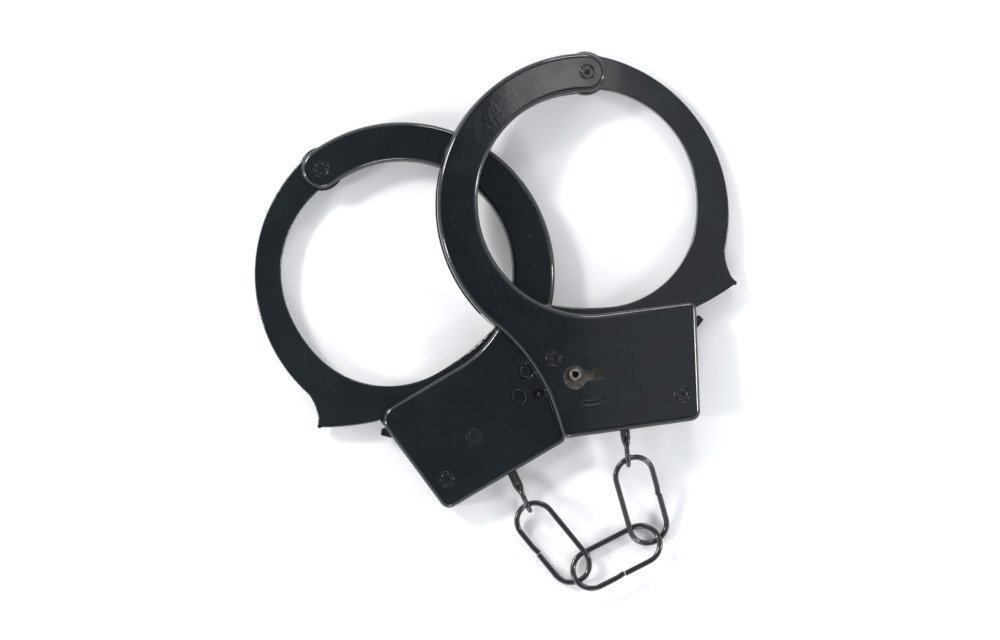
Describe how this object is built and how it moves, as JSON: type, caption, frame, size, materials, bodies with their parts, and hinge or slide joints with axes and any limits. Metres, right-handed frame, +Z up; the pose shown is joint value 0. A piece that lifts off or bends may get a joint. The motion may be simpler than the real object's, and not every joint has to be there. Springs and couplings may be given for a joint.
{
  "type": "handcuffs",
  "caption": "Pressed-steel handcuffs: two ratchet cuffs with swinging toothed bows, keyholes and a short chain of oval wire links between twisted wire swivels",
  "frame": {"origin": "on the supporting surface, under the middle of the whole object's box", "axes": "+Z up, +Y from the chain towards the bow pivots, +X to the right seen from above with the chain nearest the viewer"},
  "size_m": [0.1209, 0.1352, 0.0162],
  "materials": {
    "painted": "satin black, slightly uneven coating",
    "rivet": "satin black over headed steel",
    "steel": "bare, dull",
    "post": "bare, turned end",
    "spring": "bare spring wire",
    "wire": "glossy black",
    "link": "glossy black"
  },
  "bodies": {
    "left_lock": {"left_front_shell": "painted", "left_back_shell": "painted", "left_jaw_rivet": "rivet", "left_jaw_washers": "steel", "left_case_rivet": "rivet", "left_pawl_rivet": "rivet", "left_pawl_washers": "steel", "left_key_post": "post", "left_spring_pin": "steel", "left_pawl_spring": "spring"},
    "left_bow": {"left_jaw": "painted"},
    "left_catch": {"left_pawl": "steel", "left_stop_pin": "steel"},
    "left_eye": {"left_swivel": "wire"},
    "link_1": {"chain_link_1": "link"},
    "link_2": {"chain_link_2": "link"},
    "link_3": {"chain_link_3": "link"},
    "right_eye": {"right_swivel": "wire"},
    "right_lock": {"right_front_shell": "painted", "right_back_shell": "painted", "right_jaw_rivet": "rivet", "right_jaw_washers": "steel", "right_case_rivet": "rivet", "right_pawl_rivet": "rivet", "right_pawl_washers": "steel", "right_key_post": "post", "right_spring_pin": "steel", "right_pawl_spring": "spring"},
    "right_bow": {"right_jaw": "painted"},
    "right_catch": {"right_pawl": "steel", "right_stop_pin": "steel"}
  },
  "joints": [
    {"name": "left_jaw_turn", "type": "hinge", "parent": "left_lock", "child": "left_bow", "pos_m": [-0.04374, 0.03825, 0.00325], "axis": [0, 0, -1], "range_deg": [-42, 220]},
    {"name": "left_pawl_turn", "type": "hinge", "parent": "left_lock", "child": "left_catch", "pos_m": [0.00745, -0.01242, 0.00325], "axis": [0, 0, -1], "range_deg": [0, 2.8], "deforming": ["left_pawl_spring"]},
    {"name": "left_swivel_turn", "type": "hinge", "parent": "left_lock", "child": "left_eye", "pos_m": [0.00788, -0.04599, 0.00326], "axis": [0.428, -0.9038, 0.0006], "range_deg": [0, 60]},
    {"name": "link_1_swing", "type": "hinge", "parent": "left_eye", "child": "link_1", "pos_m": [0.00788, -0.04599, 0.00326], "axis": [0, 0, -1], "range_deg": [0, 22]},
    {"name": "link_2_swing", "type": "hinge", "parent": "link_1", "child": "link_2", "pos_m": [0.02238, -0.05787, 0.0023], "axis": [0, 0, -1], "range_deg": [0, 40]},
    {"name": "link_3_lift", "type": "hinge", "parent": "link_2", "child": "link_3", "pos_m": [0.03722, -0.05325, 0.0018], "axis": [0.9541, -0.2898, -0.0757], "range_deg": [0, 18]},
    {"name": "right_eye_lift", "type": "hinge", "parent": "link_3", "child": "right_eye", "pos_m": [0.03332, -0.0341, 0.0082], "axis": [0.9365, 0.3211, -0.141], "range_deg": [0, 50]},
    {"name": "right_swivel_turn", "type": "hinge", "parent": "right_eye", "child": "right_lock", "pos_m": [0.03293, -0.03429, 0.00823], "axis": [-0.1066, 0.9901, 0.0918], "range_deg": [0, 60]},
    {"name": "right_jaw_turn", "type": "hinge", "parent": "right_lock", "child": "right_bow", "pos_m": [0.02231, 0.06208, 0.00509], "axis": [0.1502, 0.0587, 0.9869], "continuous": true},
    {"name": "right_pawl_turn", "type": "hinge", "parent": "right_lock", "child": "right_catch", "pos_m": [0.01388, -0.00924, 0.01062], "axis": [0.1502, 0.0587, 0.9869], "range_deg": [0, 2.8], "deforming": ["right_pawl_spring"]}
  ]
}
